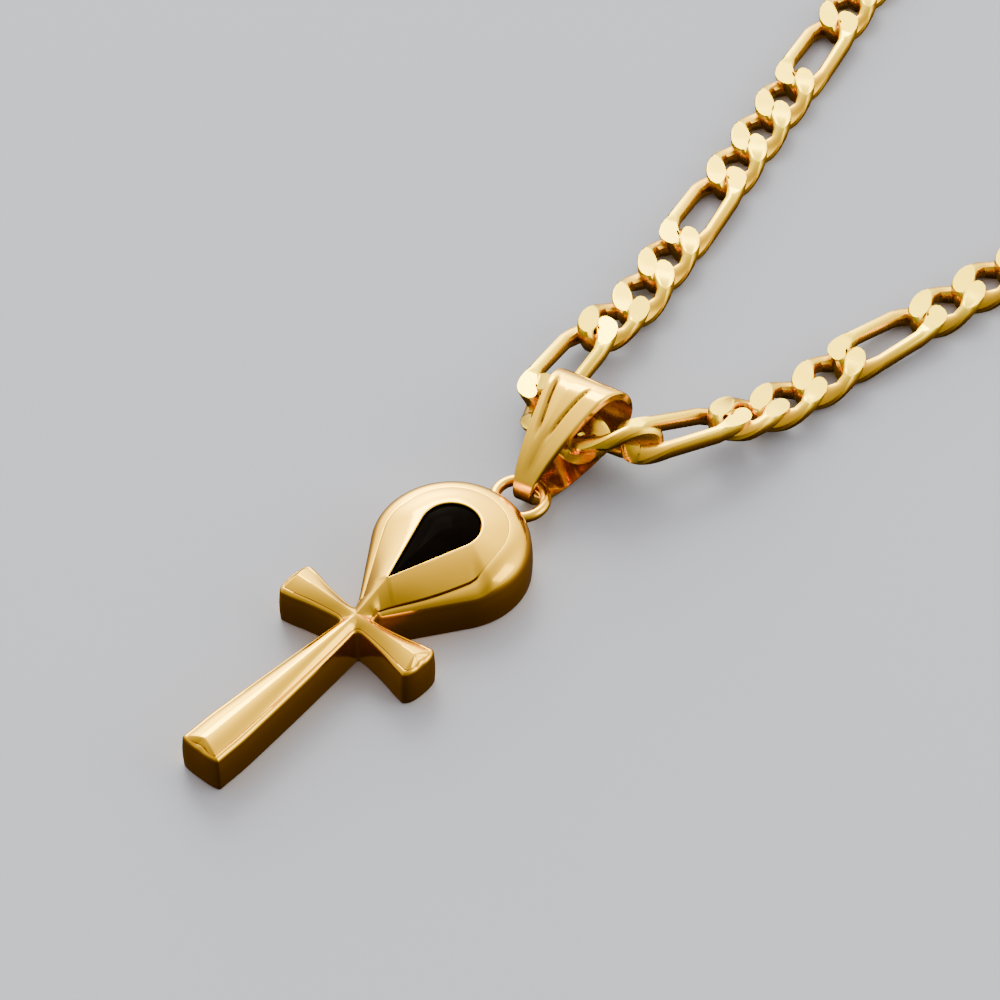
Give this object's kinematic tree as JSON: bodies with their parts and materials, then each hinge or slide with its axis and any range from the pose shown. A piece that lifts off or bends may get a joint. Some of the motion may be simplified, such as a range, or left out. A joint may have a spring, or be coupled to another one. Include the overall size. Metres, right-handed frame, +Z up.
{
  "type": "ankh pendant necklace",
  "caption": "Puffy cast ankh pendant with a black teardrop inlay, on a ribbed bail and a closed flat figaro chain, lying flat.",
  "frame": {"origin": "under the crossing of the stem and arms, on the pendant's flat back, which lies on the surface", "axes": "+X along the arms, +Y from the end of the stem to the loop and the chain, +Z up from the surface"},
  "size_m": [0.075, 0.2224, 0.0047],
  "materials": {
    "polished_gold": "polished yellow gold plating",
    "chain_gold": "polished yellow gold plating, cut flat",
    "black_inlay": "glossy black enamel or onyx"
  },
  "bodies": {
    "root": {"ankh_body": "polished_gold", "inlay": "black_inlay", "bail": "polished_gold", "chain_left": "chain_gold", "chain_right": "chain_gold", "clasp": "chain_gold"}
  },
  "joints": []
}
